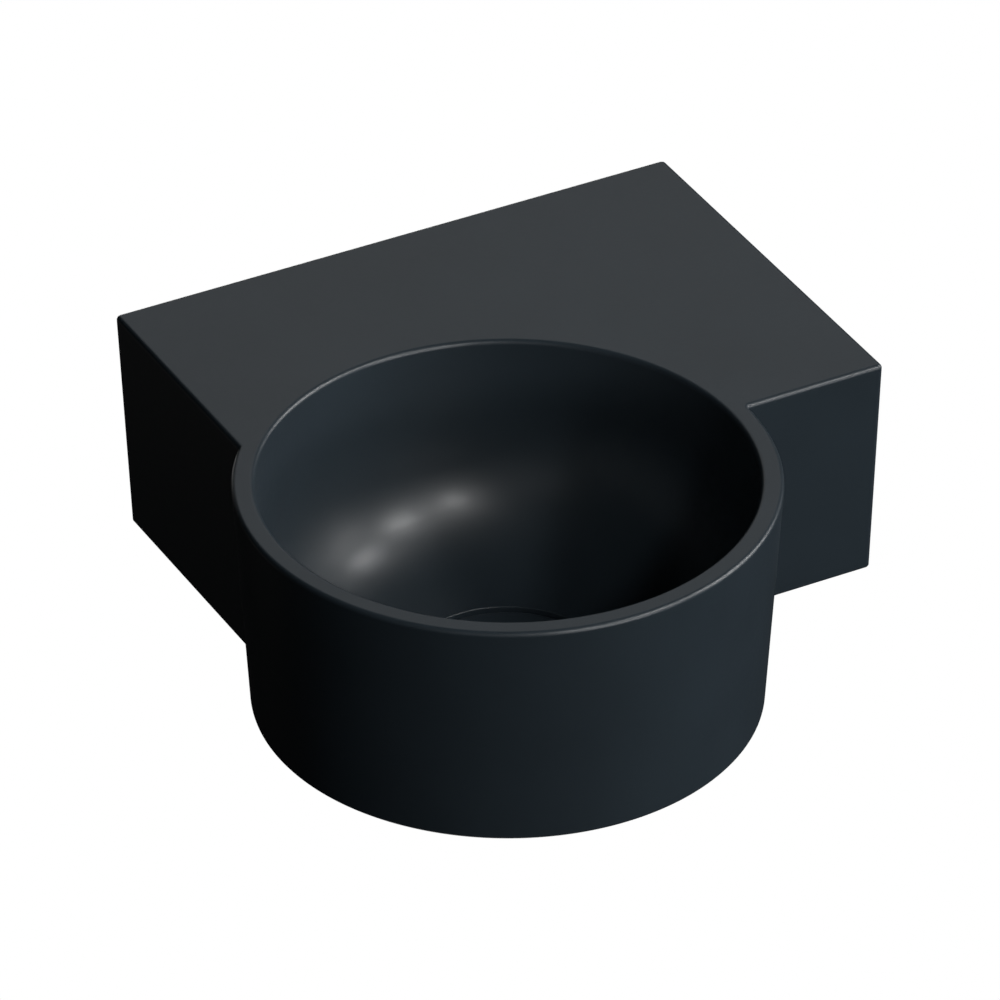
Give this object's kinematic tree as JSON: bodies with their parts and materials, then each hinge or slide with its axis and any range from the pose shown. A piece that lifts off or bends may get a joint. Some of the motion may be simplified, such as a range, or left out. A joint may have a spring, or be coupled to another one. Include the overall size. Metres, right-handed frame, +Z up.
{
  "type": "wall-hung washbasin",
  "caption": "Wall-hung washbasin: round bowl in the front corner of a rectangular ledge, with a press-to-open waste under a matching round cover and two wall bolts.",
  "frame": {"origin": "midpoint between the two wall bolts, in the plane of the ceramic's back face", "axes": "+Z up, +Y into the wall, so the front faces -Y; +X to the right as seen from the front"},
  "size_m": [0.438, 0.522, 0.232],
  "materials": {
    "basin_ceramic": "satin",
    "cover_ceramic": "satin",
    "chrome": "polished",
    "brass": "turned",
    "stainless": "brushed",
    "zinc_steel": "zinc plated",
    "spring_steel": "drawn wire",
    "rubber": "matte",
    "nylon": "moulded",
    "acetal": "moulded"
  },
  "bodies": {
    "body": {"basin": "basin_ceramic", "waste_body": "chrome", "flange_gasket": "rubber", "lower_gasket": "rubber", "slip_washer": "nylon", "back_nut": "brass", "cartridge_sleeve": "acetal", "cartridge_cap": "acetal", "click_spring": "spring_steel", "hanger_bolts": "zinc_steel", "bolt_bushes": "nylon", "bolt_washers": "zinc_steel", "bolt_nuts": "zinc_steel"},
    "plug": {"drain_cover": "cover_ceramic", "cover_pad": "rubber", "cover_carrier": "stainless", "stem_screw": "stainless", "stem_lock_nut": "stainless", "plug_body": "chrome", "plug_seal": "rubber", "plunger": "acetal"},
    "ratchet": {"ratchet_ring": "nylon"}
  },
  "joints": [
    {"name": "plug_lift", "type": "slide", "parent": "body", "child": "plug", "axis": [0, 0, 1], "range_m": [-0.0015, 0.008], "deforming": ["click_spring"]},
    {"name": "ratchet_turn", "type": "hinge", "parent": "plug", "child": "ratchet", "pos_m": [-0.069, -0.282, -0.115], "axis": [0, 0, 1], "range_deg": [0, 90]}
  ]
}
